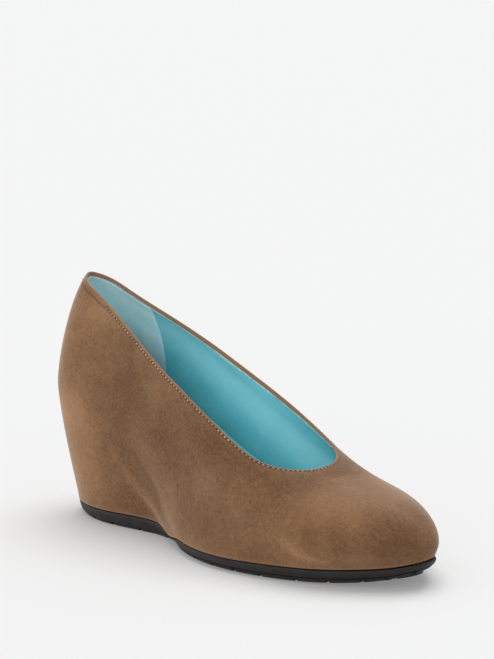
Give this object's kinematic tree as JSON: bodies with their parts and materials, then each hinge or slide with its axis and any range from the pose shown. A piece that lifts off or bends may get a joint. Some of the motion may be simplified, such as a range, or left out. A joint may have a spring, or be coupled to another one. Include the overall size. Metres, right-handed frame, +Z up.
{
  "type": "wedge pump",
  "caption": "Right wedge pump with a hollow suede upper over a covered wedge, smooth lining, footbed and black rubber outsole.",
  "frame": {"origin": "centre of the bounding box at the floor, under the middle of the shoe", "axes": "+X from heel to toe, +Y to the inner (medial) side, +Z up"},
  "size_m": [0.239, 0.0848, 0.1288],
  "materials": {
    "suede": "taupe brown suede with a short soft nap",
    "rubber": "matte black moulded rubber",
    "cork": "pressed cork block, hidden under the upper",
    "lining_leather": "smooth teal lining leather"
  },
  "bodies": {
    "root": {"outsole": "rubber", "wedge": "cork", "insole": "lining_leather", "upper": "suede"}
  },
  "joints": []
}
